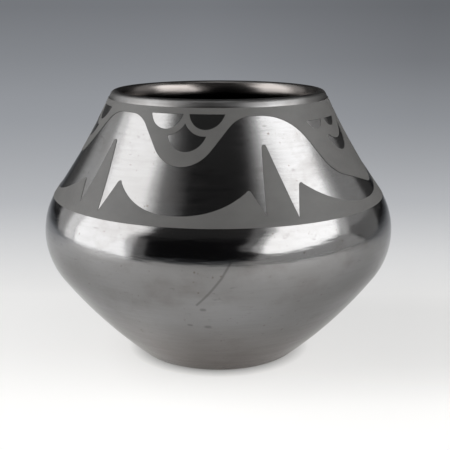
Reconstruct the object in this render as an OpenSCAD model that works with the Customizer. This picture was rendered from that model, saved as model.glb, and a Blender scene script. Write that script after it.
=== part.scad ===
// A hand-coiled pueblo jar, burnished and fired black, with a painted matt band round its shoulder.
// Millimetres, +Z up, the origin on the axis at the underside of the foot, the photographed side
// facing -Y. The jar is built the way the potter builds it: a base pressed in a shallow mould, six
// coils and a rim coil lapped on sloping seams, one thin polished slip over them, and matt paint.
// Every piece follows one outline, so each lies face to face on the next.

/* [Jar] */
// Height from the floor to the top of the lip
jar_h = 140.2; // [130:0.2:155]
// Greatest diameter
jar_d = 184; // [172:1:196]
// Height of the widest point
belly_z = 67.6; // [60:0.2:76]
// Radius of the round of the belly
belly_r = 36.6; // [28:0.2:42]
// Radius of the nearly straight wall below the belly
lower_r = 246; // [160:2:400]
// Radius of the hollow wall above the belly
upper_r = 331; // [220:1:500]
// Diameter of the mouth, across the top of the lip
mouth_d = 106.4; // [96:0.2:114]

/* [Lip] */
// How far the lip rounds inward from its top
lip_in = 3.2; // [2.4:0.1:4]
// How far down inside that round reaches
lip_depth = 7.4; // [5:0.1:9]
// Radius of the ridge where it turns back to the wall
ridge_r = 3; // [2:0.1:5]
// Length of wall over which the thicker clay behind the lip fades out
swell_l = 26; // [18:1:34]

/* [Foot] */
// Diameter of the flat that the jar stands on
foot_d = 77.4; // [66:0.2:84]
// Radius of the soft edge round the flat
foot_edge_r = 7; // [6.4:0.1:9]

/* [Clay] */
// Thickness of the wall
wall_t = 5.2; // [4:0.1:6]
// Thickness of the floor inside
base_t = 7; // [5:0.1:10]
// Radius between the floor inside and the wall
floor_r = 24; // [12:0.5:34]
// Length of wall, up from the flat, that the mould shapes
mould_l = 30; // [24:1:40]
// How far down inside a coil laps the one below
seam_lap = 4; // [1:0.5:6]

/* [Slip] */
// Thickness of the polished slip
slip_t = 0.3; // [0.2:0.05:0.6]
// How far the slip runs down inside the mouth
slip_inside = 14; // [8:1:22]

/* [Paint] */
// Thickness of the matt paint
paint_t = 0.2; // [0.15:0.05:0.4]
// Drop from the top of the lip to the upper line
upper_line_drop = 3.7; // [3:0.1:6]
// Height of the upper line
upper_line_h = 2.7; // [2:0.1:4]
// Rise from the widest point to the lower line
lower_line_rise = 18.9; // [16:0.1:21]
// Height of the lower line
lower_line_h = 2.3; // [1.5:0.1:4]
// Azimuth of the first cloud, to the right of the front
first_az = -14.2; // [-36:0.2:36]

/* [Clouds] */
// How far a cloud hangs below the upper line
cloud_drop = 22.7; // [20:0.1:26]
// Radius of the round end of a cloud
cloud_r = 16.4; // [14:0.2:18]
// Steepness of a cloud's flanks, in degrees
flank_a = 56; // [50:1:64]
// Radius where a cloud flares out under the line
flare_r = 10.7; // [8:0.1:13]
// Height of the paint left between the line and the top of an arch
arch_gap = 0.9; // [0.5:0.1:1.5]
// Width of an upper window
window_w = 16.4; // [12:0.2:17]
// Depth of an upper window
window_d = 6.8; // [5:0.1:8]
// Width of the brush stroke round the windows
stroke = 2.8; // [2:0.1:4]
// Radius of the round of the lower window
low_window_r = 9.7; // [8:0.1:11]
// Drop from the upper line to the bottom of the lower window
low_window_drop = 16.4; // [14:0.1:18]
// How far the lower window sits to the right of the middle
low_window_x = 1.3; // [0:0.1:2]

/* [Broad cloud] */
// How much further the left end of the second, broad cloud hangs
broad_drop = 8.4; // [4:0.2:9]
// How far that end lies to the right of the middle
broad_left_x = 1.2; // [0:0.1:2]
// How far its right end lies to the right of its left end
broad_reach = 21.4; // [18:0.2:24]
// How much lower that right end is set
broad_fall = 11.7; // [8:0.1:12]
// Radius of the right end
broad_end_r = 11; // [9:0.2:13]
// Steepness of its left flank, in degrees
broad_flank_a = 67; // [62:1:72]
// Radius of its flare on the left
broad_flare_r = 20; // [16:0.5:22]
// How far its windows sit below the line
broad_sink = 4.8; // [3:0.1:6]
// Width of its upper windows
broad_window_w = 12.1; // [10:0.1:13]
// Depth of its upper windows
broad_window_d = 4; // [3:0.1:5]
// Radius of the round of its lower window
broad_low_r = 11; // [10:0.1:12]
// How far that window sits to the right of the middle
broad_low_x = 8.5; // [7:0.1:9]
// Drop from the upper line to the bottom of that window
broad_low_drop = 20.3; // [19:0.1:21]
// Width of the paint over that window
broad_stroke = 5.8; // [5:0.1:6.4]

/* [Waves] */
// Height of the paint over the lower line at the bottom of a bowl
bowl_h = 2.2; // [1.5:0.1:4]
// Distance of the crest from the middle of a wave
crest_x = 12.6; // [11:0.2:16]
// Height of the crest over the lower line
crest_h = 12.6; // [10:0.2:16]
// Distance of the notch beside the crest from the middle
notch_x = 6.6; // [6:0.1:9]
// Height of that notch over the lower line
notch_h = 2; // [1:0.1:5]
// Distance of the tall point's tip from the middle
tall_x = 1.1; // [0:0.1:4]
// Height of the tall point over the lower line
tall_h = 31.6; // [27:0.2:34]
// Width of the tall point's blunt tip
tip_w = 2.4; // [1:0.1:3]
// Distance of the deep cut beside the tall point from the middle
cut_x = 9.1; // [8:0.1:10]
// Height of that cut over the lower line
cut_h = 0.4; // [0.3:0.1:2]
// Distance of the short point's tip from the middle
short_x = 14.1; // [13:0.1:17]
// Height of the short point over the lower line
short_h = 14.6; // [11:0.2:17]

/* [Hidden] */
coils = 6;
repeats = 5;
$fn = 180;

clay_colour = "#232122";
slip_colour = "#101113";
paint_colour = "#5b5c5e";

// How far each repeat strays from its even place, in degrees, as painting by eye does
wave_stray = [-1.8, 8, 3, 0, 2.7];
cloud_stray = [0, -1, 8, 3, 4.7];
// How much further than the first each cloud hangs
cloud_extra = [0, 0, 2.5, 1, 1.5];
// How far a bowl and an arch run past their borders, for cutting
bowl_overrun = 12;
arch_x = 60;
// The right side of the broad cloud is steep and hardly flares, to leave room for the next cloud
steep_a = 84;
steep_flare_r = 3;
// Steps on the hollow upper wall and on the oval inside the lip
upper_steps = 14;
oval_steps = 12;

// The wall is two skins of slip on one thickness of clay at the lip, which sets the lip's round.
lip_r = wall_t / 2 + slip_t;

// The outline is a chain of five arcs that run into each other: foot edge, lower wall, belly,
// hollow upper wall and lip. Each point is [radius from the axis, height].
foot_c = [foot_d / 2, foot_edge_r];
belly_c = [jar_d / 2 - belly_r, belly_z];
lip_c = [mouth_d / 2, jar_h - lip_r];
lower_c = meet(foot_c, lower_r - foot_edge_r, belly_c, lower_r - belly_r, 1);
upper_c = meet(belly_c, upper_r + belly_r, lip_c, upper_r + lip_r, -1);

foot_end = bearing(lower_c, foot_c);
belly_start = bearing(lower_c, belly_c);
belly_end = bearing(belly_c, upper_c);
lip_start = bearing(lip_c, upper_c);

// Points of the outline from the edge of the flat up to the lip: [radius, height, outward normal]
outline = concat(
    arc(foot_c, foot_edge_r, -90, foot_end, 8, 1),
    rest(arc(lower_c, lower_r, foot_end, belly_start, 16, 1)),
    rest(arc(belly_c, belly_r, belly_start, belly_end, 28, 1)),
    rest(arc(upper_c, upper_r, belly_end + 180, lip_start + 180, upper_steps, -1)));
last = len(outline) - 1;
heights = [for (i = [0:last]) [outline[i][1], i]];
// Length along the outline, as [length, index] for finding a place by length and the other way round
lengths = [for (i = 0, l = 0; i <= last; l = i < last ? l + gap(i) : l, i = i + 1) [l, i]];
wall_l = lengths[last][0];

clay_out = -slip_t;
clay_in = -slip_t - wall_t;
slip_in = -2 * slip_t - wall_t;

// Behind the lip the wall is thicker. The lip's inner side is an upright quarter of an oval, and a
// ridge under it turns back to the wall, on the line from its centre to that of the hollow wall.
oval_c = [lip_c[0], jar_h - lip_depth];
ridge_c = [oval_c[0] - lip_in + ridge_r, oval_c[1]];
ridge_a = bearing(ridge_c, upper_c);
ridge_u = last - upper_steps * (lip_start - ridge_a) / (lip_start - belly_end);
swell = norm(upper_c - ridge_c) + ridge_r - upper_r + slip_in;
swell_u = at_length(wall_l - swell_l);

// Places on the outline of the seams' outer ends, and of the inner ends a lap further down
coil_l = (wall_l - mould_l) / (coils + 1);
function seam_out(i) = at_length(mould_l + i * coil_l);
function seam_in(i) = at_length(mould_l + i * coil_l - seam_lap);

// Heights of the painted lines' edges
upper_line_top = jar_h - upper_line_drop;
field_top = upper_line_top - upper_line_h;
lower_line_z = belly_z + lower_line_rise;
field_z = lower_line_z + lower_line_h;

// The rounded corner between the floor inside and the wall, on the wall's own inner circle
inner_lower_r = lower_r + clay_in;
corner_z = base_t + floor_r;
corner_c = [lower_c[0] + sqrt(pow(inner_lower_r - floor_r, 2) - pow(corner_z - lower_c[1], 2)), corner_z];
corner_end = bearing(lower_c, corner_c);

// The centre of the circle that meets two circles at given distances from their centres
function meet(a, da, b, db, side) =
    let (v = b - a, d = norm(v), e = v / d, along = (da * da - db * db + d * d) / (2 * d),
        off = sqrt(da * da - along * along))
    a + along * e + side * off * [-e[1], e[0]];

function bearing(a, b) = atan2(b[1] - a[1], b[0] - a[0]);

function arc(c, r, a0, a1, n, outward) =
    [for (i = [0:n]) let (a = a0 + (a1 - a0) * i / n, u = [cos(a), sin(a)])
        [c[0] + r * u[0], c[1] + r * u[1], outward * u[0], outward * u[1]]];

function rest(list) = [for (i = [1:len(list) - 1]) list[i]];

function backwards(list) = [for (i = [len(list) - 1:-1:0]) list[i]];

function gap(i) = norm([outline[i + 1][0] - outline[i][0], outline[i + 1][1] - outline[i][1]]);

// Index, with its fraction, of a place given by its height or by its length along the wall
function at_height(z) = lookup(z, heights);
function at_length(l) = lookup(l, lengths);

// The point of the outline at index u, moved outward by d
function offset_point(i, d) = [outline[i][0] + d * outline[i][2], outline[i][1] + d * outline[i][3]];
function point(u, d) =
    let (i = min(floor(u), last - 1), f = u - i)
    (1 - f) * offset_point(i, d) + f * offset_point(i + 1, d);

// The stretch of the outline between two indices, moved outward by d
function stretch(u0, u1, d) =
    concat([point(u0, d)], [for (i = [floor(u0) + 1:ceil(u1) - 1]) offset_point(i, d)], [point(u1, d)]);

// The same on the inner side of the wall, where the swelling behind the lip is added
function swelled(d, i) =
    let (t = min(1, max(0, (i - swell_u) / (ridge_u - swell_u))))
    d - swell * t * t * (3 - 2 * t);
function inner_point(u, d) =
    let (i = min(floor(u), last - 1), f = u - i)
    (1 - f) * offset_point(i, swelled(d, i)) + f * offset_point(i + 1, swelled(d, i + 1));
function inner_stretch(u0, u1, d) =
    concat([inner_point(u0, d)],
        [for (i = [floor(u0) + 1:ceil(u1) - 1]) offset_point(i, swelled(d, i))],
        [inner_point(u1, d)]);

// The points alone of an arc
function bow(c, r, a0, a1, n) = [for (p = arc(c, r, a0, a1, n, 1)) [p[0], p[1]]];

// The lip from the outer wall over the top and down to the ridge inside, sunk by d under the skin
function lip(d) =
    concat(bow(lip_c, lip_r - d, lip_start, 90, 8),
        [for (i = [1:oval_steps]) let (t = 90 - 90 * i / oval_steps)
            oval_c + [-(lip_in - d) * cos(t), (lip_depth - d) * sin(t)]],
        rest(bow(ridge_c, ridge_r - d, 180, ridge_a + 180, 4)));

// The inner side of the wall from a place on it up to just below the ridge
function up_to_ridge(u, d) =
    concat([inner_point(u, d)],
        [for (i = [floor(u) + 1:ceil(ridge_u) - 1]) offset_point(i, swelled(d, i))]);

module turned(points) {
    rotate_extrude() polygon(points);
}

// A closed ring between two seams
module coil(i) {
    color(clay_colour)
    turned(concat(stretch(seam_out(i - 1), seam_out(i), clay_out),
        backwards(inner_stretch(seam_in(i - 1), seam_in(i), clay_in))));
}

// The flat bottom and the first of the wall, with its rounded floor inside
module puki_base() {
    corner = bow(corner_c, floor_r, corner_end, -90, 16);
    inside = [for (u = backwards(stretch(0, seam_in(0), clay_in))) if (u[1] > corner[0][1]) u];
    color(clay_colour)
    turned(concat([[0, 0], [foot_d / 2, 0]], stretch(0, seam_out(0), clay_out), inside, corner,
        [[0, base_t]]));
}

// The last coil, which ends in the rounded lip
module rim_coil() {
    color(clay_colour)
    turned(concat(stretch(seam_out(coils), last, clay_out), rest(lip(slip_t)),
        backwards(up_to_ridge(seam_in(coils), clay_in))));
}

// The burnished skin, from the edge of the flat up over the lip and down inside the mouth
module polished_slip() {
    inside = at_length(wall_l - slip_inside);
    color(slip_colour)
    turned(concat(stretch(0, last, 0), rest(lip(0)), backwards(up_to_ridge(inside, slip_in)),
        up_to_ridge(inside, clay_in), backwards(lip(slip_t)), rest(backwards(stretch(0, last, clay_out)))));
}

// The section of a coat of paint on the slip between two heights
function paint_section(z0, z1) =
    concat(stretch(at_height(z0), at_height(z1), 0),
        backwards(stretch(at_height(z0), at_height(z1), paint_t)));

module lower_band() {
    color(paint_colour) turned(paint_section(lower_line_z, field_z));
}

module upper_band() {
    color(paint_colour) turned(paint_section(field_top, upper_line_top));
}

// Azimuth of a repeat, counted round from the first, and the azimuth half way to the one before
function turn_az(start, stray, i) = start + 360 / repeats * i + stray[(i + repeats) % repeats];
function border_az(start, stray, i) = (turn_az(start, stray, i - 1) + turn_az(start, stray, i)) / 2;

// A flat shape in width and height, laid on the wall at repeat i and cut at its two borders. The
// coat is cut from a whole ring, so that its facets lie on those of the slip.
module painted(start, stray, i) {
    from_az = border_az(start, stray, i) - 90;
    to_az = border_az(start, stray, i + 1) - 90;
    color(paint_colour)
    intersection() {
        turned(paint_section(field_z, field_top));
        rotate([0, 0, turn_az(start, stray, i)])
        rotate([90, 0, 0])
        linear_extrude(height = jar_d) children();
        linear_extrude(height = jar_h)
        polygon([[0, 0], jar_d * [cos(from_az), sin(from_az)], jar_d * [cos(to_az), sin(to_az)]]);
    }
}

// Half of a cloud's outline, from the middle of an arch down the flank to the round end, where the
// edge runs at the angle end_a
function flank(c, r, a, flare, end_a) =
    let (start = c + r * [sin(a), -cos(a)], arch_z = field_top - arch_gap,
        top_z = arch_z - flare + flare * cos(a),
        flare_c = [start[0] + (top_z - start[1]) / tan(a) + flare * sin(a), arch_z - flare])
    concat([[arch_x, jar_h], [arch_x, arch_z]], bow(flare_c, flare, 90, 90 + a, 10),
        bow(c, r, a - 90, end_a - 90, 16));

// The same points on the other side of the middle, in the order that carries an outline on
function mirrored(points) = [for (p = backwards(points)) [-p[0], p[1]]];

// An upper window, its middle at x
function upper_window(x, w, d, top_z) =
    let (r = round_radius(w / 2, d), a = asin(w / 2 / r))
    bow([x, top_z + r - d], r, -90 - a, -90 + a, 20);

// The lower window, between its own round below and the brush strokes round the upper two
function lower_window(c, r, window_c, stroke_r) =
    let (left_c = [-window_c[0], window_c[1]],
        cusp = [0, window_c[1] - sqrt(pow(stroke_r, 2) - pow(window_c[0], 2))],
        right = meet(c, r, window_c, stroke_r, -1),
        left = meet(c, r, left_c, stroke_r, 1),
        left_a = -180 - bearing(c, [2 * c[0] - left[0], left[1]]))
    concat(bow(left_c, stroke_r, bearing(left_c, left), bearing(left_c, cusp), 8),
        rest(bow(window_c, stroke_r, bearing(window_c, cusp), bearing(window_c, right), 8)),
        rest(bow(c, r, bearing(c, right), left_a, 16)));

// The windows of a cloud: width and depth of the upper two, how far they sink below the line, and
// the lower one's radius, place to the right, drop and the stroke over it
module windows(w, d, sink, low_r, low_x, low_drop, over) {
    top_z = field_top - sink;
    window_r = round_radius(w / 2, d);
    window_c = [(w + stroke) / 2, top_z + window_r - d];
    for (turn = [-1, 1]) polygon(upper_window(turn * window_c[0], w, d, top_z));
    polygon(lower_window([low_x, field_top - low_drop + low_r], low_r, window_c, window_r + over));
}

// A rain cloud: a round lobe that flares out under the upper line, with three polished windows
module cloud_shape(extra) {
    side = flank([0, field_top - cloud_drop - extra + cloud_r], cloud_r, flank_a, flare_r, 0);
    difference() {
        polygon(concat(side, rest(mirrored(side))));
        windows(window_w, window_d, 0, low_window_r, low_window_x, low_window_drop, stroke);
    }
}

// The broad cloud reaches far to the right, with lower and smaller windows
module broad_cloud_shape() {
    left_c = [broad_left_x, field_top - cloud_drop - broad_drop + cloud_r];
    right_c = left_c + [broad_reach, -broad_fall];
    edge_a = bearing(left_c, right_c) + asin((cloud_r - broad_end_r) / norm(right_c - left_c));
    left = flank([-left_c[0], left_c[1]], cloud_r, broad_flank_a, broad_flare_r, -edge_a);
    right = flank(right_c, broad_end_r, steep_a, steep_flare_r, edge_a);
    difference() {
        polygon(concat(right, mirrored(left)));
        windows(broad_window_w, broad_window_d, broad_sink, broad_low_r, broad_low_x,
            broad_low_drop, broad_stroke);
    }
}

// A wave: a crest, a tall point and a short point, between the halves of two shallow bowls whose
// bottoms lie at the borders, which are from_a and to_a degrees away
module wave_shape(from_a, to_a) {
    bowl_z = field_z + bowl_h;
    tip_r = tip_w / 2;
    wall_r = point(at_height(bowl_z), 0)[0];
    left_x = wall_r * sin(from_a);
    right_x = wall_r * sin(to_a);
    long_r = round_radius(left_x - crest_x, crest_h - bowl_h);
    short_r = round_radius(right_x - short_x, short_h - bowl_h);
    polygon(concat(
        [[-left_x - bowl_overrun, belly_z]],
        bow([-left_x, bowl_z + long_r], long_r, -90 - asin(bowl_overrun / long_r),
            asin((left_x - crest_x - tip_r) / long_r) - 90, 16),
        bow([-crest_x, field_z + crest_h - tip_r], tip_r, 110, 30, 4),
        [[-notch_x, field_z + notch_h]],
        bow([-tall_x, field_z + tall_h - tip_r], tip_r, 180, 0, 6),
        [[cut_x, field_z + cut_h]],
        bow([short_x, field_z + short_h - tip_r], tip_r, 160, 70, 4),
        bow([right_x, bowl_z + short_r], short_r, -90 - asin((right_x - short_x - tip_r) / short_r),
            -90 + asin(bowl_overrun / short_r), 16),
        [[right_x + bowl_overrun, belly_z]]));
}

// The radius of a round that climbs by h over a distance of x from its bottom
function round_radius(x, h) = (x * x + h * h) / (2 * h);

module cloud(i) {
    painted(first_az, cloud_stray, i)
    if (i == 1) broad_cloud_shape();
    else cloud_shape(cloud_extra[i]);
}

module wave(i) {
    start = first_az + 180 / repeats;
    az = turn_az(start, wave_stray, i);
    painted(start, wave_stray, i)
    wave_shape(az - border_az(start, wave_stray, i), border_az(start, wave_stray, i + 1) - az);
}

puki_base();
for (i = [1:coils]) coil(i);
rim_coil();
polished_slip();
lower_band();
upper_band();
for (i = [1:repeats]) wave(i - 1);
for (i = [1:repeats]) cloud(i - 1);
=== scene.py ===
import math

import bpy
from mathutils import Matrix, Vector, noise


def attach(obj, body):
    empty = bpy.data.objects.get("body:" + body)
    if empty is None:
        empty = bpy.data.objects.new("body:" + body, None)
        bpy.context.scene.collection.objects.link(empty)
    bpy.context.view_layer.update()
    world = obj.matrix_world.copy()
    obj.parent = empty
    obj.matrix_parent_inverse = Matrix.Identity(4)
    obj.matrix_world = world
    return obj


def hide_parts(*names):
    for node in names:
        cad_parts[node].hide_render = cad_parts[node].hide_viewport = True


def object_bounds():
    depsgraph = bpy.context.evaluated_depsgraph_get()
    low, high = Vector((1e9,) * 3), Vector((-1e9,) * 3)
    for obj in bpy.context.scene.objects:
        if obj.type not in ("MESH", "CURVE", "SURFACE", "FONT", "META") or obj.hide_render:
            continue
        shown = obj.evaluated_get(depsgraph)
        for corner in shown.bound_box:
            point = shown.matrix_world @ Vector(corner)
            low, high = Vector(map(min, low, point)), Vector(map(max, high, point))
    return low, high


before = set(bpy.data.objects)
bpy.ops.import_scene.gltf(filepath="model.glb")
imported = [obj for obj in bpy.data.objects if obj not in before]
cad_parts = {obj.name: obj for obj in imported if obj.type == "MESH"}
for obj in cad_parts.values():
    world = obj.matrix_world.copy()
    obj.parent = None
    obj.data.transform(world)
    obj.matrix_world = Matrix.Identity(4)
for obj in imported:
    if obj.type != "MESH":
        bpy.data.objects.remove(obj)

cad_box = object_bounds()

# Sizes of the jar, in metres: its radius and height from the CAD model's box, the rest as in the CAD
# model
JAR_R = round(cad_box[1][0], 4)
JAR_H = round(cad_box[1][2], 4)
BELLY_Z = 0.0676
BELLY_R = 0.0366
LOWER_R = 0.246
UPPER_R = 0.331
MOUTH_R = 0.0532
FOOT_R = 0.0387
FOOT_EDGE_R = 0.007
WALL_T = 0.0052
SLIP_T = 0.0003
SLIP_INSIDE = 0.014
LIP_R = WALL_T / 2 + SLIP_T
LIP_IN = 0.0032
LIP_DEPTH = 0.0074
RIDGE_R = 0.003
SWELL_L = 0.026

# Steps along each arc of the outline, and round the jar
FOOT_STEPS, LOWER_STEPS, BELLY_STEPS, UPPER_STEPS, LIP_STEPS = 8, 44, 64, 56, 16
OVAL_STEPS, RIDGE_STEPS = 24, 8
ROUND_STEPS = 240

# The angle, in degrees, from which an edge of the skin is shaded as a crease
CREASE = 40

# The hand-made unevenness of the polished wall, nearly all of it inward, in metres: its depth, and
# the length over which it fades in above the foot and out below the lip
HAND_DEPTH = 0.00016
HAND_FADE = 0.012

# The share of that length that stays even right under the lip's top
HAND_LIP = 0.3

# Its mean as a share of its depth, and its swells as (noise cells per metre across, the same up
# the jar, shift, share of the depth)
HAND_MEAN = 0.5
HAND_SWELLS = ((18, 34, 0, 0.62), (46, 95, 7, 0.24))

# The long scratch and the pits on the front: places on the wall as (azimuth to the right of the
# front in degrees, height), their widths, a pit's length, and the share of a width that is full
SCRATCH_PATH = ((3.7, 0.0722), (1.2, 0.0650), (-2.4, 0.0575), (-6.0, 0.0514))
SCRATCH_W = 0.0008
PITS = (((-4.6, 0.0486), 0.0014), ((-3.6, 0.0374), 0.0017), ((-9.6, 0.0383), 0.0012))
PIT_L = 0.001
MARK_CORE = 0.3

# Where the burnished slip's look changes, from none to full: heights, and distances from the axis
# Heights over which the smoke-brown tint and painted shade grow towards the foot
SMOKE_AND_SHADE_Z = (0.040, 0.006)
FOOT_WEAR_Z = (0.012, 0.002)
SHOULDER_Z = (0.080, 0.092)
MOUTH_Z = (0.10, 0.12)
LIP_WEAR_Z = (JAR_H - 0.0060, JAR_H - 0.0035)
LIP_EDGE_Z = (JAR_H - 0.0045, JAR_H - 0.0025)
# Heights over which painted shade darkens the slip deeper inside the mouth
MOUTH_SHADE_Z = (JAR_H - 0.003, JAR_H - LIP_DEPTH)
INSIDE_R = (MOUTH_R - 0.0004, MOUTH_R - 0.0022)

# Colours of the burnished slip
SLIP_DARK = (0.222, 0.219, 0.217, 1)
SLIP_LIGHT = (0.264, 0.264, 0.266, 1)
STROKE = (0.190, 0.186, 0.184, 1)
SMUDGE = (0.150, 0.138, 0.130, 1)
SCUFF = (0.120, 0.112, 0.108, 1)
FLECK = (0.10, 0.07, 0.055, 1)
# The slip's smoke-brown tint, with painted shade that darkens it towards the foot
SMOKE_AND_SHADE_TINT = (0.69, 0.61, 0.555)
MOUTH = (0.200, 0.178, 0.166, 1)
# Painted shade deep inside the mouth
MOUTH_SHADE = (0.03, 0.028, 0.027, 1)
SCRATCH = (0.05, 0.045, 0.042, 1)
LIP_WEAR = (0.10, 0.095, 0.090, 1)

# Colours of the paint and of the bare clay, and the refraction index of both
PAINT_DARK = (0.094, 0.092, 0.089, 1)
PAINT_LIGHT = (0.112, 0.110, 0.106, 1)
PAINT_GRAIN = (0.13, 0.127, 0.124, 1)
CLAY_DARK = (0.010, 0.0095, 0.009, 1)
CLAY_LIGHT = (0.026, 0.024, 0.022, 1)
CLAY_GRIT = (0.07, 0.06, 0.05, 1)
MATT_IOR = 1.5

WHITE = (1.0, 1.0, 1.0, 1)

# Camera, fitted to the photograph's outline and painted lines
CAMERA_AT = (0.0035, -0.4723, 0.1832)
CAMERA_PITCH = 13.82
CAMERA_LENS = 71.9
CAMERA_SENSOR = 36.0

# The table and the far backdrop that closes its horizon
TABLE_HALF = 60.0
BACKDROP_H = 20.0

# The table's tones are laid out from an eye in front of the jar, by the slope down to a place and
# by how far to the side it is seen. A place far off to any side counts as lying back by at least
# its distance from the jar less OPEN_FROM, in metres.
EYE_BACK = 0.47
EYE_H = 0.183
OPEN_FROM = 0.9

# Tones of the table from the horizon on, a painted fall-off of light from white near the jar to
# blue-grey far off, as (place, level, share of blue), where the place is this many times the slope
SLOPE_SHARE = 2.0
TABLE_TONES = (
    (0.0, 0.175, 1.14), (0.12, 0.235, 1.13), (0.25, 0.32, 1.12), (0.44, 0.485, 1.07),
    (0.66, 0.84, 0.99), (0.80, 0.88, 0.985), (0.94, 0.96, 0.98),
)

# Painted shade: how much darker the table is on the right, in the same way
TABLE_PAINTED_SHADE = (
    (0.0, 0.25, 1.0), (0.12, 0.25, 1.0), (0.42, 0.0, 1.0), (0.56, 0.0, 1.0), (0.70, 0.08, 1.0),
    (0.84, 0.08, 1.0), (0.95, 0.0, 1.0),
)

# How much of a tone's tint to or from blue its green takes up
GREEN_SHARE = 0.35

# The table's albedo, what the jar's gloss sees less of it, and the albedo and the glow of it that
# the camera sees near the jar, and the share of that glow left at the foot by a painted contact
# shadow. Far off the camera sees glow alone.
TABLE_ALBEDO = 0.8
GLOSS_LOSS = 0.08
NEAR_ALBEDO = 0.45
NEAR_GLOW = 0.68
CONTACT_SHADOW_GLOW = 0.4

# Painted pools of light on the table that show in the jar's gloss only, as (place, reach, strength)
PAINTED_POOLS = (
    ((0.16, -0.25, 0.0), 0.18, 0.26),
    ((0.38, -0.50, 0.0), 0.35, 0.20),
    ((-0.045, -0.045, 0.0), 0.035, 0.20),
)

# The light from all round, and the grey-blue that the camera sees past the table
WORLD_LIGHT = (0.011, 0.011, 0.012, 1)
WORLD_SEEN = (0.1755, 0.1841, 0.2, 1)

# Height on the axis that the lamps are laid out from
LAMP_AIM = 0.07

# Edges that neighbouring lamps share, as (azimuth to the right of the front, elevation) in degrees
LEFT_EDGE = ((-56, -3), (-58, 14), (-58, 22), (-49, 33), (-49, 37), (-62, 44), (-67, 60))
RIGHT_EDGE = ((27, 8), (26, 12), (31, 25), (42, 36), (42, 42), (45, 45), (54, 43.5), (92, 43))
RIGHT_BACK = ((92, 43), (95, 33), (86, 27), (82, 20), (79, 13))

# The lamps as (name, radiance, distance from the aim, corners)
LAMPS = (
    ("left_box", 3.4, 0.8, LEFT_EDGE + ((-99, 60), (-100, -3))),
    ("left_end", 2.2, 0.8, ((-100, -3), (-99, 60), (-106, 60), (-110, -3))),
    ("left_rim", 1.5, 0.8,
     ((-51, -3), (-52, 22), (-45, 33), (-45, 38), (-55, 47), (-60, 60)) + LEFT_EDGE[::-1]),
    ("left_glow", 0.3, 0.8, ((-44, -3), (-44, 22), (-52, 22), (-52, -3))),
    ("left_spill", 0.35, 1.0,
     ((-43, 38), (-38, 48), (-32, 51), (-32, 58), (-60, 58), (-55, 47), (-45, 38))),
    ("left_fill", 0.78, 1.0, ((-110, -3), (-105, 58), (-128, 58), (-128, 12), (-120, -3))),
    ("left_edge", 0.5, 1.0, ((-128, 12), (-128, 40), (-135, 40), (-135, 12))),
    ("left_far", 0.08, 1.0, ((-135, 3), (-135, 30), (-160, 30), (-160, 3))),
    ("right_box", 3.9, 0.75, ((36, 6),) + RIGHT_EDGE + RIGHT_BACK[1:] + ((69, 11),)),
    ("right_rim", 1.2, 0.75,
     ((20, 14), (26, 26), (34, 36), (35, 46), (40, 48), (92, 48)) + RIGHT_EDGE[::-1]),
    ("right_end", 1.2, 0.75,
     RIGHT_BACK[::-1] + ((99, 44), (106, 34), (94, 25), (90, 18), (88, 10), (80, 12))),
    ("right_spill", 0.4, 0.85,
     ((13, 16), (22, 30), (27, 44), (38, 52), (60, 52), (60, 46), (37, 45), (20, 14))),
    ("right_card", 0.75, 0.8,
     ((20, -3), (24, 7), (36, 6), (69, 11), (80, 12), (88, 10), (96, 2), (104, -3))),
    ("right_fill", 0.55, 1.3,
     ((106, 34), (99, 44), (96, 60), (128, 60), (128, 14), (91, 14), (90, 18), (94, 25))),
    ("right_low", 0.32, 1.3, ((91, 14), (128, 14), (122, -3), (106, -3), (98, 3), (88, 10))),
    ("right_edge", 0.06, 1.3, ((128, 4), (128, 45), (145, 45), (145, 4))),
    ("top_fill", 0.9, 1.6, ((-80, 68), (-40, 68), (0, 68), (40, 68), (80, 68), (0, 88))),
    ("front_spill", 0.05, 1.6, ((-45, 24), (-45, 42), (45, 42), (45, 24))),
)


def meet(a, da, b, db, side):
    """The centre of the circle that meets two circles at given distances from their centres."""
    d = math.dist(a, b)
    ex, ey = (b[0] - a[0]) / d, (b[1] - a[1]) / d
    along = (da * da - db * db + d * d) / (2 * d)
    off = side * math.sqrt(da * da - along * along)
    return (a[0] + along * ex - off * ey, a[1] + along * ey + off * ex)


def bearing(a, b):
    """The angle of the line from a to b."""
    return math.atan2(b[1] - a[1], b[0] - a[0])


def arc(c, r, a0, a1, steps, outward=1):
    """Points of an arc as (radius, height, outward normal's two parts)."""
    out = []
    for i in range(steps + 1):
        a = a0 + (a1 - a0) * i / steps
        u, v = math.cos(a), math.sin(a)
        out.append((c[0] + r * u, c[1] + r * v, outward * u, outward * v))
    return out


# The outline's arcs: their centres as (radius, height), and the angles where they meet
foot_c = (FOOT_R, FOOT_EDGE_R)
belly_c = (JAR_R - BELLY_R, BELLY_Z)
lip_c = (MOUTH_R, JAR_H - LIP_R)
lower_c = meet(foot_c, LOWER_R - FOOT_EDGE_R, belly_c, LOWER_R - BELLY_R, 1)
upper_c = meet(belly_c, UPPER_R + BELLY_R, lip_c, UPPER_R + LIP_R, -1)
foot_end = bearing(lower_c, foot_c)
belly_start = bearing(lower_c, belly_c)
belly_end = bearing(belly_c, upper_c)
lip_start = bearing(lip_c, upper_c)

# The inner side of the lip is a quarter of an oval, over a ridge that turns back to the wall
oval_c = (MOUTH_R, JAR_H - LIP_DEPTH)
ridge_c = (MOUTH_R - LIP_IN + RIDGE_R, oval_c[1])
ridge_a = bearing(ridge_c, upper_c)
swelling = math.dist(upper_c, ridge_c) + RIDGE_R - UPPER_R - WALL_T - 2 * SLIP_T


def wall_outline():
    """The outside of the jar from the edge of the flat up to the lip."""
    return (
        arc(foot_c, FOOT_EDGE_R, -math.pi / 2, foot_end, FOOT_STEPS)
        + arc(lower_c, LOWER_R, foot_end, belly_start, LOWER_STEPS)[1:]
        + arc(belly_c, BELLY_R, belly_start, belly_end, BELLY_STEPS)[1:]
        + arc(upper_c, UPPER_R, belly_end + math.pi, lip_start + math.pi, UPPER_STEPS, -1)[1:]
    )


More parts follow.
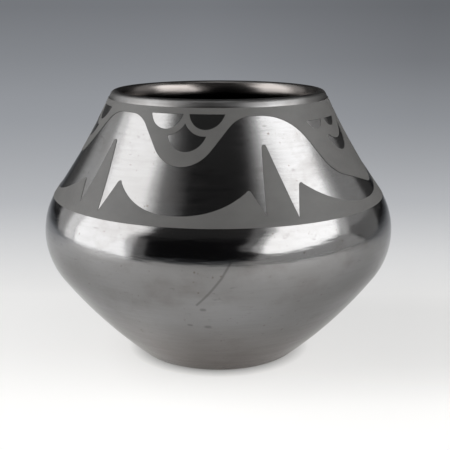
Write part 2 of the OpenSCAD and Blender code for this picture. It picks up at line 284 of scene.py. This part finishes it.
def wall_normal(z):
    """The outward normal of the wall at a height, as (radial part, height part)."""
    lower_top = belly_c[1] + BELLY_R * math.sin(belly_start)
    belly_top = belly_c[1] + BELLY_R * math.sin(belly_end)
    if z < lower_top:
        up = (z - lower_c[1]) / LOWER_R
    elif z < belly_top:
        up = (z - belly_c[1]) / BELLY_R
    else:
        up = (upper_c[1] - z) / UPPER_R
    up = max(-1.0, min(1.0, up))
    return math.sqrt(1 - up * up), up


def on_wall(azimuth, z):
    """The point of the outside at an azimuth, to the right of the front, and a height."""
    outline = wall_outline()
    r = next(
        p[0] + (q[0] - p[0]) * (z - p[1]) / (q[1] - p[1])
        for p, q in zip(outline, outline[1:])
        if p[1] <= z <= q[1]
    )
    a = math.radians(azimuth)
    return (r * math.sin(a), -r * math.cos(a), z)


def hand(x, y, z):
    """The polished wall's distance from the true outline at a point, in metres, negative inward."""
    fade = max(0.0, min(1.0, z / HAND_FADE, (JAR_H - z) / HAND_FADE - HAND_LIP))
    depth = HAND_MEAN
    for across, up, shift, share in HAND_SWELLS:
        depth += share * noise.noise(Vector((x * across + shift, y * across, z * up)))
    return -HAND_DEPTH * fade * depth


def mesh_object(name, verts, faces, smooth=True):
    mesh = bpy.data.meshes.new(name)
    mesh.from_pydata(verts, [], faces)
    mesh.polygons.foreach_set("use_smooth", [smooth] * len(faces))
    mesh.update()
    obj = bpy.data.objects.new(name, mesh)
    bpy.context.scene.collection.objects.link(obj)
    return obj


def revolve(name, section, wobbles):
    """A closed ring from a closed section of (radius, height, normal) points, of which those that
    wobble take the hand-made unevenness."""
    verts, faces = [], []
    count = len(section)
    for i in range(ROUND_STEPS):
        a = 2 * math.pi * i / ROUND_STEPS
        ca, sa = math.cos(a), math.sin(a)
        for (r, z, nr, nz), wobble in zip(section, wobbles):
            d = hand(r * ca, r * sa, z) if wobble else 0.0
            verts.append(((r + d * nr) * ca, (r + d * nr) * sa, z + d * nz))
    for i in range(ROUND_STEPS):
        j = (i + 1) % ROUND_STEPS
        for k in range(count):
            m = (k + 1) % count
            faces.append((i * count + k, j * count + k, j * count + m, i * count + m))
    return mesh_object(name, verts, faces)


def moved(points, d):
    """Points of the outline, moved along their normals."""
    return [(r + d * nr, z + d * nz, nr, nz) for r, z, nr, nz in points]


def lip(d):
    """The lip from the outer wall over the top and down to the ridge inside, sunk by d."""
    points = arc(lip_c, LIP_R - d, lip_start, math.pi / 2, LIP_STEPS)
    for i in range(1, OVAL_STEPS + 1):
        t = math.pi / 2 * (1 - i / OVAL_STEPS)
        r = oval_c[0] - (LIP_IN - d) * math.cos(t)
        z = oval_c[1] + (LIP_DEPTH - d) * math.sin(t)
        points.append((r, z, 0, 0))
    return points + arc(ridge_c, RIDGE_R - d, math.pi, ridge_a + math.pi, RIDGE_STEPS)[1:]


def inner_wall(d):
    """The inner side of the wall from the end of the slip up to the ridge, d inside the outline."""
    outline = wall_outline()
    last = len(outline) - 1
    step = (lip_start - belly_end) / UPPER_STEPS
    ridge_i = last - (lip_start - ridge_a) / step
    swell_i = last - SWELL_L / UPPER_R / abs(step)
    slip_i = round(last - SLIP_INSIDE / UPPER_R / abs(step))
    points = []
    for i in range(slip_i, math.ceil(ridge_i)):
        t = max(0.0, (i - swell_i) / (ridge_i - swell_i))
        r, z, nr, nz = outline[i]
        off = -d - swelling * t * t * (3 - 2 * t)
        points.append((r + off * nr, z + off * nz, 0, 0))
    return points


def make_slip():
    """The burnished skin: outside, over the lip and a little way down inside."""
    outside = wall_outline()
    front = outside[:-1] + lip(0.0) + inner_wall(WALL_T + 2 * SLIP_T)[::-1]
    back = inner_wall(WALL_T + SLIP_T) + lip(SLIP_T)[::-1] + moved(outside, -SLIP_T)[-2::-1]
    wobbles = [True] * len(outside) + [False] * (len(front) + len(back) - len(outside))
    skin = revolve("burnished_skin", front + back, wobbles)
    skin.data.set_sharp_from_angle(angle=math.radians(CREASE))
    return skin


class Shader:
    """A material's node tree, built one node at a time."""

    def __init__(self, name):
        self.material = bpy.data.materials.new(name)
        self.material.use_nodes = True
        self.tree = self.material.node_tree
        self.tree.nodes.clear()
        self.output = self.add("ShaderNodeOutputMaterial")

    def add(self, kind, **props):
        node = self.tree.nodes.new(kind)
        for key, value in props.items():
            setattr(node, key, value)
        return node

    def feed(self, socket, value):
        """Gives a socket its value: the output of another node, or a constant."""
        if isinstance(value, bpy.types.NodeSocket):
            self.tree.links.new(value, socket)
        else:
            socket.default_value = value

    def math(self, operation, a, b=0.0):
        node = self.add("ShaderNodeMath", operation=operation)
        self.feed(node.inputs[0], a)
        self.feed(node.inputs[1], b)
        return node.outputs[0]

    def total(self, *values):
        result = values[0]
        for value in values[1:]:
            result = self.math("ADD", result, value)
        return result

    def product(self, *values):
        result = values[0]
        for value in values[1:]:
            result = self.math("MULTIPLY", result, value)
        return result

    def without(self, share):
        """1 where the share is 0, and 0 where it is 1."""
        return self.math("SUBTRACT", 1.0, share)

    def vector(self, operation, a, b):
        node = self.add("ShaderNodeVectorMath", operation=operation)
        self.feed(node.inputs[0], a)
        self.feed(node.inputs["Scale"] if operation == "SCALE" else node.inputs[1], b)
        return node.outputs

    def stretched(self, factors):
        """The point on the object, with its axes scaled."""
        coord = self.add("ShaderNodeTexCoord").outputs["Object"]
        return self.vector("MULTIPLY", coord, factors)[0]

    def parts(self, point):
        """The X, Y and Z of a point."""
        node = self.add("ShaderNodeSeparateXYZ")
        self.feed(node.inputs[0], point)
        return node.outputs

    def from_axis(self):
        """The distance from the jar's axis."""
        return self.vector("DISTANCE", self.stretched((1.0, 1.0, 0.0)), (0, 0, 0))["Value"]

    def noise(self, flat, scale, detail, roughness=0.5):
        """Noise in level streaks, so many times finer up the jar than round it."""
        node = self.add("ShaderNodeTexNoise")
        self.feed(node.inputs["Vector"], self.stretched((1.0, 1.0, flat)))
        self.feed(node.inputs["Scale"], scale)
        self.feed(node.inputs["Detail"], detail)
        self.feed(node.inputs["Roughness"], roughness)
        return node.outputs["Fac"]

    def spread(self, value, a0, a1, b0, b1):
        """Maps a range on to another, held at its ends."""
        node = self.add("ShaderNodeMapRange")
        for socket, part in zip(node.inputs[:5], (value, a0, a1, b0, b1)):
            self.feed(socket, part)
        return node.outputs[0]

    def rise(self, value, span):
        """0 to 1 as a value goes from one end of a span to the other."""
        return self.spread(value, *span, 0.0, 1.0)

    def mix(self, factor, a, b):
        node = self.add("ShaderNodeMix", data_type="RGBA")
        self.feed(node.inputs[0], factor)
        self.feed(node.inputs[6], a)
        self.feed(node.inputs[7], b)
        return node.outputs[2]

    def ramp(self, place, stops):
        """A colour ramp from (place, level, share of blue) stops."""
        node = self.add("ShaderNodeValToRGB")
        self.feed(node.inputs[0], place)
        elements = node.color_ramp.elements
        while len(elements) < len(stops):
            elements.new(0.5)
        for element, (at, level, blue) in zip(elements, stops):
            element.position = at
            element.color = (level, level * (1 + (blue - 1) * GREEN_SHARE), level * blue, 1)
        return node.outputs[0]

    def line_mask(self, a, b, width):
        """1 on a straight mark from a to b, falling to 0 at its edge."""
        coord = self.add("ShaderNodeTexCoord").outputs["Object"]
        along = b - a
        from_a = self.vector("SUBTRACT", coord, tuple(a))[0]
        t = self.vector("DOT_PRODUCT", from_a, tuple(along / along.length_squared))["Value"]
        t = self.math("MINIMUM", self.math("MAXIMUM", t, 0.0), 1.0)
        nearest = self.vector("SCALE", tuple(along), t)[0]
        gap = self.vector("DISTANCE", from_a, nearest)["Value"]
        return self.spread(gap, width * MARK_CORE, width, 1.0, 0.0)

    def bump(self, height, distance, strength, normal=None):
        node = self.add("ShaderNodeBump")
        self.feed(node.inputs["Distance"], distance)
        self.feed(node.inputs["Strength"], strength)
        self.feed(node.inputs["Height"], height)
        if normal is not None:
            self.feed(node.inputs["Normal"], normal)
        return node.outputs[0]

    def glow(self, colour, strength):
        node = self.add("ShaderNodeEmission")
        self.feed(node.inputs["Color"], colour)
        self.feed(node.inputs["Strength"], strength)
        return node.outputs[0]

    def show(self, shader):
        """Makes a shader the surface, and returns the finished material."""
        self.feed(self.output.inputs["Surface"], shader)
        return self.material

    def surface(self, **sockets):
        """Shows a principled surface with these sockets, and returns the finished material."""
        node = self.add("ShaderNodeBsdfPrincipled")
        for name, value in sockets.items():
            self.feed(node.inputs[name.replace("_", " ")], value)
        return self.show(node.outputs[0])


def scratch_and_pits(look):
    """1 on the long scratch and the pits of the front."""
    path = [Vector(on_wall(*spot)) for spot in SCRATCH_PATH]
    lines = [(a, b, SCRATCH_W) for a, b in zip(path, path[1:])]
    for spot, width in PITS:
        start = Vector(on_wall(*spot))
        lines.append((start, start + Vector((PIT_L, 0, 0)), width))
    marks = 0.0
    for line in lines:
        marks = look.math("MAXIMUM", marks, look.line_mask(*line))
    return marks


def slip_tone(look, z, inside, strokes, cloud, smudge):
    """Slip tones: smoke brown and painted shade at the foot, painted shade in the mouth, marks, worn
    lip.
    """
    scuff = look.noise(flat=3.0, scale=150.0, detail=3.0)
    flecks = look.noise(flat=1.0, scale=420.0, detail=2.0)
    tone = look.mix(look.rise(cloud, (0.3, 0.72)), SLIP_DARK, SLIP_LIGHT)
    for grain, start, full, share, colour in (
        (strokes, 0.45, 0.75, 0.25, STROKE),
        (smudge, 0.50, 0.74, 0.42, SMUDGE),
        (scuff, 0.66, 0.78, 0.5, SCUFF),
        (flecks, 0.70, 0.76, 0.5, FLECK),
    ):
        tone = look.mix(look.spread(grain, start, full, 0.0, share), tone, colour)
    # Browner and darker towards the foot: the slip's smoke browning, and painted shade
    tone = look.mix(look.rise(z, SMOKE_AND_SHADE_Z), tone, look.vector("MULTIPLY", tone, SMOKE_AND_SHADE_TINT)[0])

    wear = look.spread(look.noise(flat=0.3, scale=70.0, detail=2.0), 0.35, 0.65, 0.0, 0.45)
    for share, colour in (
        (look.product(inside, 0.75), MOUTH),
        # Painted shade deep inside the mouth
        (look.product(inside, look.rise(z, MOUTH_SHADE_Z)), MOUTH_SHADE),
        (look.product(scratch_and_pits(look), 0.40), SCRATCH),
        (look.product(wear, look.rise(z, LIP_WEAR_Z), look.without(inside)), LIP_WEAR),
    ):
        tone = look.mix(share, tone, colour)
    return tone


def slip_roughness(look, z, inside, strokes, cloud, smudge):
    """How dull the slip is: most at the lip's edge and at the foot, where the stone reached least."""
    return look.total(
        look.spread(strokes, 0.3, 0.75, 0.075, 0.125),
        look.spread(cloud, 0.35, 0.7, 0.0, 0.03),
        look.product(look.rise(z, SHOULDER_Z), 0.06),
        look.product(inside, 0.03),
        look.product(look.rise(z, LIP_EDGE_Z), look.without(inside), 0.22),
        look.spread(z, *FOOT_WEAR_Z, 0.0, 0.16),
        look.spread(smudge, 0.50, 0.74, 0.0, 0.06),
    )


def slip_relief(look, z, strokes):
    """The polishing stone's broad facets, fainter on the shoulder, under its fine streaks."""
    swells = look.noise(flat=6.0, scale=38.0, detail=2.0)
    fine = look.noise(flat=22.0, scale=260.0, detail=3.0, roughness=0.6)
    kept = look.without(look.product(look.rise(z, SHOULDER_Z), 0.7))
    facets = look.product(look.math("SUBTRACT", swells, 0.5), kept)
    ripple = look.bump(facets, distance=0.0003, strength=0.4)
    streaks = look.total(strokes, look.product(fine, 0.5))
    return look.bump(streaks, distance=0.00004, strength=0.4, normal=ripple)


def burnished_material():
    """Smoke-fired slip polished with a stone, in level strokes, to a dark metallic sheen."""
    look = Shader("burnished_slip_look")
    z = look.parts(look.stretched((1.0, 1.0, 1.0)))["Z"]
    inside = look.product(look.rise(look.from_axis(), INSIDE_R), look.rise(z, MOUTH_Z))
    strokes = look.noise(flat=14.0, scale=60.0, detail=4.0, roughness=0.6)
    cloud = look.noise(flat=1.6, scale=22.0, detail=3.0, roughness=0.55)
    smudge = look.noise(flat=1.3, scale=48.0, detail=5.0, roughness=0.62)
    return look.surface(
        Base_Color=slip_tone(look, z, inside, strokes, cloud, smudge),
        Metallic=1.0,
        Roughness=slip_roughness(look, z, inside, strokes, cloud, smudge),
        Normal=slip_relief(look, z, strokes),
    )


def paint_material():
    """Matt slip paint, laid with a brush and left unpolished."""
    look = Shader("matt_paint_look")
    grain = look.noise(flat=1.0, scale=900.0, detail=4.0, roughness=0.65)
    wash = look.noise(flat=2.2, scale=60.0, detail=4.0, roughness=0.55)
    tone = look.mix(look.rise(wash, (0.3, 0.7)), PAINT_DARK, PAINT_LIGHT)
    tone = look.mix(look.spread(grain, 0.62, 0.72, 0.0, 0.25), tone, PAINT_GRAIN)
    rough = look.spread(grain, 0.3, 0.7, 0.46, 0.58)
    normal = look.bump(grain, distance=0.00006, strength=0.5)
    return look.surface(Base_Color=tone, Roughness=rough, Normal=normal, IOR=MATT_IOR)


def clay_material():
    """Bare smoke-blackened clay, wiped smooth inside and rubbed level on the foot."""
    look = Shader("fired_clay_look")
    wipe = look.noise(flat=9.0, scale=70.0, detail=5.0, roughness=0.6)
    grit = look.noise(flat=1.0, scale=700.0, detail=3.0, roughness=0.6)
    tone = look.mix(look.rise(wipe, (0.3, 0.75)), CLAY_DARK, CLAY_LIGHT)
    tone = look.mix(look.spread(grit, 0.66, 0.74, 0.0, 0.5), tone, CLAY_GRIT)
    rough = look.spread(wipe, 0.3, 0.7, 0.42, 0.6)
    grains = look.total(wipe, look.product(grit, 0.5))
    normal = look.bump(grains, distance=0.00012, strength=0.6)
    return look.surface(Base_Color=tone, Roughness=rough, Normal=normal, IOR=MATT_IOR)


def dress(obj, material):
    obj.data.materials.clear()
    obj.data.materials.append(material)


def make_paint(node, material):
    """A coat of paint that follows the uneven wall under it, from the CAD node's own outline."""
    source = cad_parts[node].data
    verts, normals = [], []
    for v in source.vertices:
        x, y, z = v.co
        r = math.hypot(x, y)
        nr, nz = wall_normal(z)
        d = hand(x, y, z)
        verts.append((x + d * nr * x / r, y + d * nr * y / r, z + d * nz))
        normals.append((nr * x / r, nr * y / r, nz))
    faces = [tuple(p.vertices) for p in source.polygons]
    coat = mesh_object(node + "_coat", verts, faces)
    coat.data.normals_split_custom_set_from_vertices(normals)
    dress(coat, material)
    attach(coat, "root")
    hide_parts(node)


def make_jar():
    """The CAD's clay in its material, a coat for each painted node, and the skin for the slip."""
    clay = clay_material()
    paint = paint_material()
    for name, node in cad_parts.items():
        if name == "puki_base" or name.startswith(("coil_", "rim_")):
            dress(node, clay)
        elif name != "polished_slip":
            make_paint(name, paint)
    skin = make_slip()
    dress(skin, burnished_material())
    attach(skin, "root")
    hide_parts("polished_slip")


def table_tone(look, below, aside, seen):
    """Painted fall-off where the table is seen, white for other light, both with painted shade at
    right.
    """
    place = look.product(below, SLOPE_SHARE)
    # Painted fall-off of light: tones from white near the jar to blue-grey at the horizon
    tone = look.mix(seen, WHITE, look.ramp(place, TABLE_TONES))
    # Painted shade: the table darkened on the right
    painted_shade = look.product(look.ramp(place, TABLE_PAINTED_SHADE), look.rise(aside, (-0.02, 0.22)))
    return look.vector("SCALE", tone, look.without(painted_shade))[0]


def painted_gloss_light(look, x, from_jar):
    """Painted light of the table in the jar's gloss: darker near the jar and to the right, with pools
    of light.
    """
    light = look.product(
        look.spread(from_jar, 0.05, 0.30, 0.26, 0.36), look.spread(x, -0.10, 0.06, 1.10, 0.88)
    )
    for spot, reach, strength in PAINTED_POOLS:
        gap = look.vector("DISTANCE", look.stretched((1.0, 1.0, 0.0)), spot)["Value"]
        light = look.total(light, look.spread(gap, 0.0, reach, strength, 0.0))
    return light


def table_material():
    """White table, painted fall-off to blue-grey away from the jar and painted shade, glowing for
    camera and gloss.
    """
    look = Shader("floor_look")
    place = look.parts(look.add("ShaderNodeNewGeometry").outputs["Position"])
    from_jar = look.from_axis()
    away = look.math("SUBTRACT", from_jar, OPEN_FROM)
    back = look.math("ADD", look.math("MAXIMUM", place["Y"], away), EYE_BACK)
    below = look.math("DIVIDE", EYE_H, back)
    aside = look.math("DIVIDE", place["X"], back)

    path = look.add("ShaderNodeLightPath").outputs
    camera, gloss = path["Is Camera Ray"], path["Is Glossy Ray"]
    tone = table_tone(look, below, aside, look.math("MAXIMUM", camera, gloss))

    # Near the jar a part of what the camera sees is diffuse and takes shadows, and from there
    # outwards it turns into glow alone
    beside = look.spread(look.math("ABSOLUTE", aside), 0.32, 0.70, 1.0, 0.0)
    shaded = look.product(look.rise(below, (0.1, 0.3)), beside)
    # Painted contact shadow: the camera's glow of the table drops round the foot
    painted_contact_shadow = look.spread(from_jar, FOOT_R + 0.002, FOOT_R + 0.011, CONTACT_SHADOW_GLOW, 1.0)
    own = look.product(camera, painted_contact_shadow, look.spread(shaded, 0.0, 1.0, 1.0, NEAR_GLOW))
    # Painted light and shade of the table that only the jar's gloss sees
    painted_shine = look.product(gloss, painted_gloss_light(look, place["X"], from_jar))
    lit = look.spread(shaded, 0.0, 1.0, -TABLE_ALBEDO, NEAR_ALBEDO - TABLE_ALBEDO)
    lit = look.total(look.product(camera, lit), TABLE_ALBEDO)
    albedo = look.math("SUBTRACT", lit, look.product(gloss, GLOSS_LOSS))

    diffuse = look.add("ShaderNodeBsdfDiffuse")
    look.feed(diffuse.inputs["Color"], look.vector("SCALE", tone, albedo)[0])
    both = look.add("ShaderNodeAddShader")
    look.feed(both.inputs[0], look.glow(tone, look.total(own, painted_shine)))
    look.feed(both.inputs[1], diffuse.outputs[0])
    return look.show(both.outputs[0])


def flat_sheet(name, corners, material):
    """A flat face of the stage."""
    sheet = mesh_object(name, corners, [tuple(range(len(corners)))], False)
    dress(sheet, material)
    return sheet


def make_stage():
    """The table, and far behind it a backdrop that isn't reflected and lights nothing."""
    look = table_material()
    left, right, near, far = -TABLE_HALF, TABLE_HALF, -TABLE_HALF, TABLE_HALF
    flat_sheet("floor", ((left, near, 0), (right, near, 0), (right, far, 0), (left, far, 0)), look)
    top = BACKDROP_H
    backdrop = flat_sheet(
        "backdrop", ((left, far, 0), (right, far, 0), (right, far, top), (left, far, top)), look
    )
    backdrop.visible_glossy = False
    backdrop.visible_diffuse = False


def direction(azimuth, elevation):
    """The direction at an azimuth, to the right of the front, and an elevation."""
    a, e = math.radians(azimuth), math.radians(elevation)
    return Vector((math.sin(a) * math.cos(e), -math.cos(a) * math.cos(e), math.sin(e)))


def make_lamp(name, radiance, away, corners):
    """A flat lamp that the camera doesn't see, cut to the shape that its corners give."""
    rays = [direction(*corner) for corner in corners]
    middle = sum(rays, Vector()).normalized()
    aim = Vector((0, 0, LAMP_AIM))
    verts = [aim + ray * (away / ray.dot(middle)) for ray in rays]
    look = Shader(name + "_light")
    lamp = flat_sheet(name, verts, look.show(look.glow(WHITE, radiance)))
    lamp.visible_camera = False


def make_world():
    """A little light from all round, and another colour where the camera sees past the table."""
    world = bpy.data.worlds.new("studio")
    world.use_nodes = True
    tree = world.node_tree
    tree.nodes.clear()
    out = tree.nodes.new("ShaderNodeOutputWorld")
    path = tree.nodes.new("ShaderNodeLightPath")
    choice = tree.nodes.new("ShaderNodeMixShader")
    tree.links.new(path.outputs["Is Camera Ray"], choice.inputs[0])
    for socket, colour in zip(choice.inputs[1:], (WORLD_LIGHT, WORLD_SEEN)):
        background = tree.nodes.new("ShaderNodeBackground")
        background.inputs["Color"].default_value = colour
        tree.links.new(background.outputs[0], socket)
    tree.links.new(choice.outputs[0], out.inputs[0])
    bpy.context.scene.world = world


def make_camera():
    camera = bpy.data.objects.new("camera", bpy.data.cameras.new("camera"))
    camera.location = CAMERA_AT
    camera.rotation_euler = (math.radians(90 - CAMERA_PITCH), 0, 0)
    camera.data.lens = CAMERA_LENS
    camera.data.sensor_width = CAMERA_SENSOR
    bpy.context.scene.collection.objects.link(camera)
    bpy.context.scene.camera = camera


make_camera()
make_jar()
make_stage()
for lamp in LAMPS:
    make_lamp(*lamp)
make_world()
bpy.context.scene.view_settings.view_transform = "Standard"
